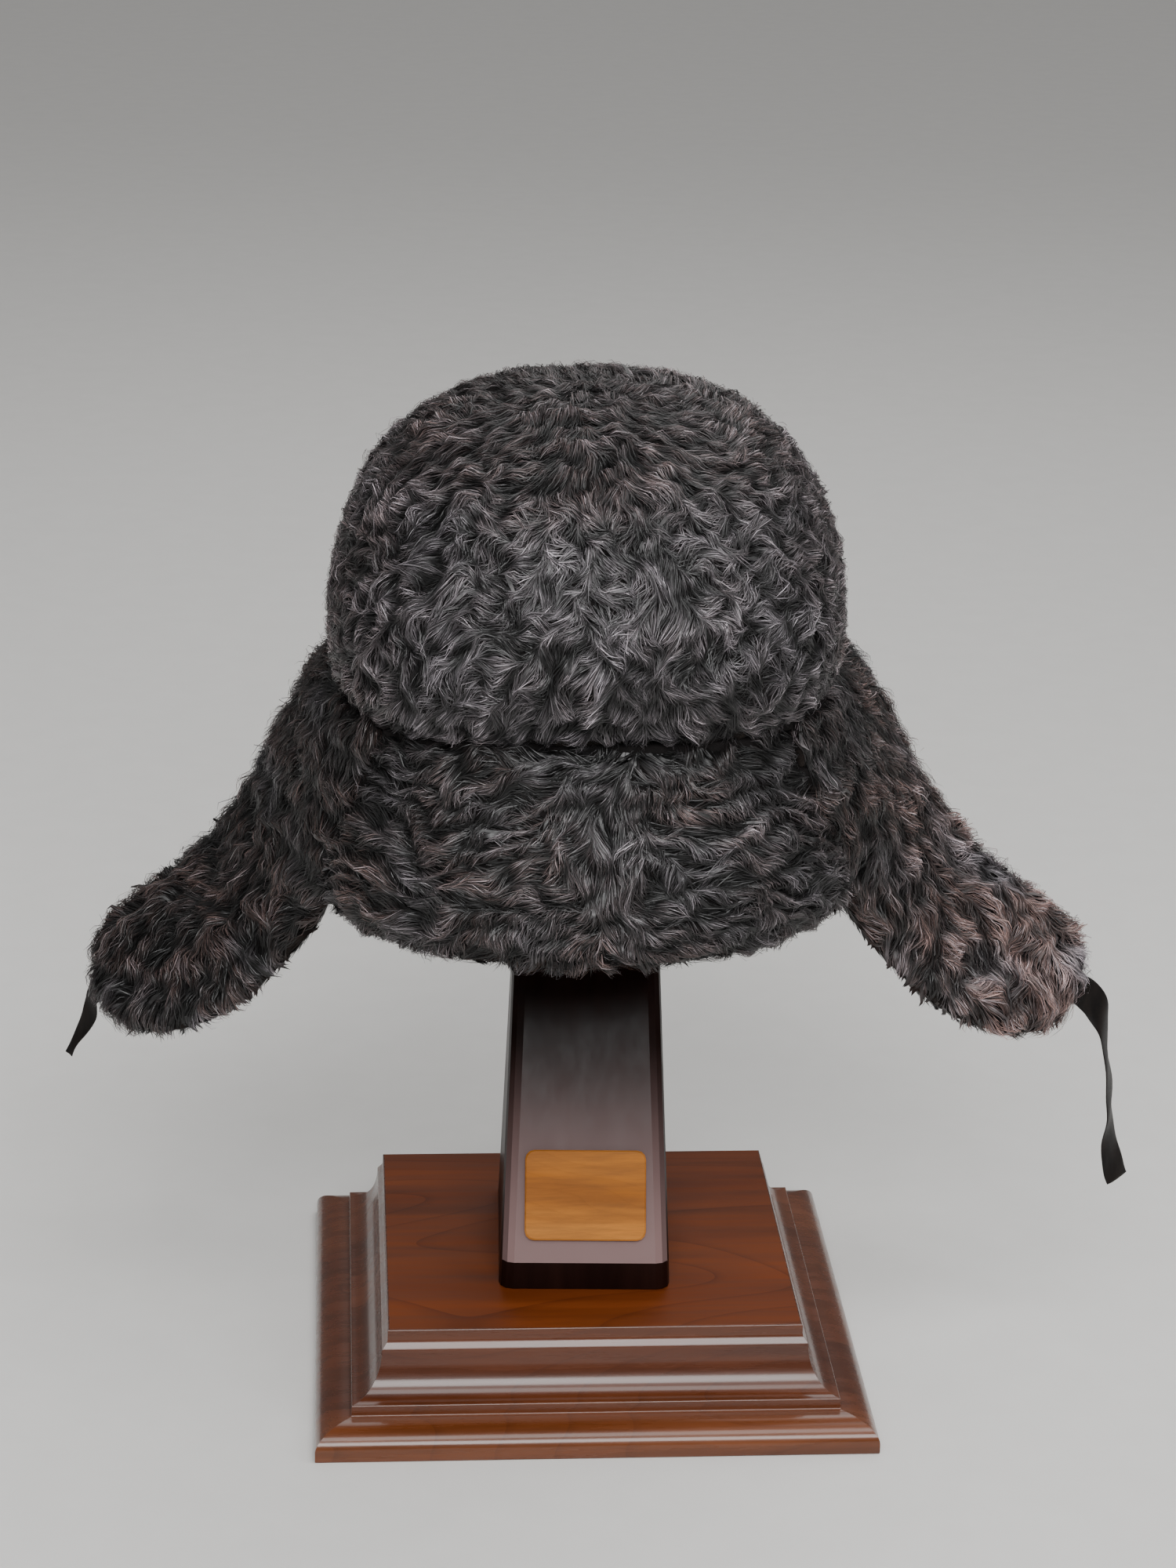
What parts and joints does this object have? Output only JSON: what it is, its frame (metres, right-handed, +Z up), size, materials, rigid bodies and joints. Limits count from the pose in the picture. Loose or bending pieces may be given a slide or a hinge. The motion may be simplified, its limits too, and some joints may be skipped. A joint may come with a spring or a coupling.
{
  "type": "karakul ear-flap hat on a wooden display stand",
  "caption": "Grey karakul fur ear-flap hat with its ear flaps let down, short black ribbon ties, on a moulded wooden display stand with a leaning post and a bare plaque.",
  "frame": {"origin": "centre of the stand's flat underside, on the surface that it stands on", "axes": "+Z up; +Y the way the forehead faces; -Y the nape, which the picture shows; +X to the right as seen from behind"},
  "size_m": [0.4753, 0.2677, 0.439],
  "materials": {
    "karakul_crown": "curly karakul fur, grey with silver tips",
    "karakul_sides": "curly karakul fur, brownish grey",
    "karakul_nape": "curly karakul fur, grey with silver tips",
    "karakul_ear_flap": "longer wavy karakul fur, grey with brown roots",
    "karakul_forehead": "curly karakul fur, brownish grey",
    "black_satin": "black satin ribbon",
    "lacquered_wood": "glossy reddish-brown lacquer over straight grain",
    "dark_wood": "very dark glossy lacquer",
    "plaque_wood": "orange-brown satin wood",
    "pad_wood": "plain dark wood"
  },
  "bodies": {
    "root": {"crown_centre": "karakul_crown", "crown_side_left": "karakul_sides", "crown_side_right": "karakul_sides", "nape_flap": "karakul_nape", "ear_flap_left": "karakul_ear_flap", "ear_flap_right": "karakul_ear_flap", "forehead_flap": "karakul_forehead", "ribbon_left": "black_satin", "ribbon_right": "black_satin", "stand_base": "lacquered_wood", "stand_post": "dark_wood", "stand_plaque": "plaque_wood", "stand_pad": "pad_wood"}
  },
  "joints": []
}
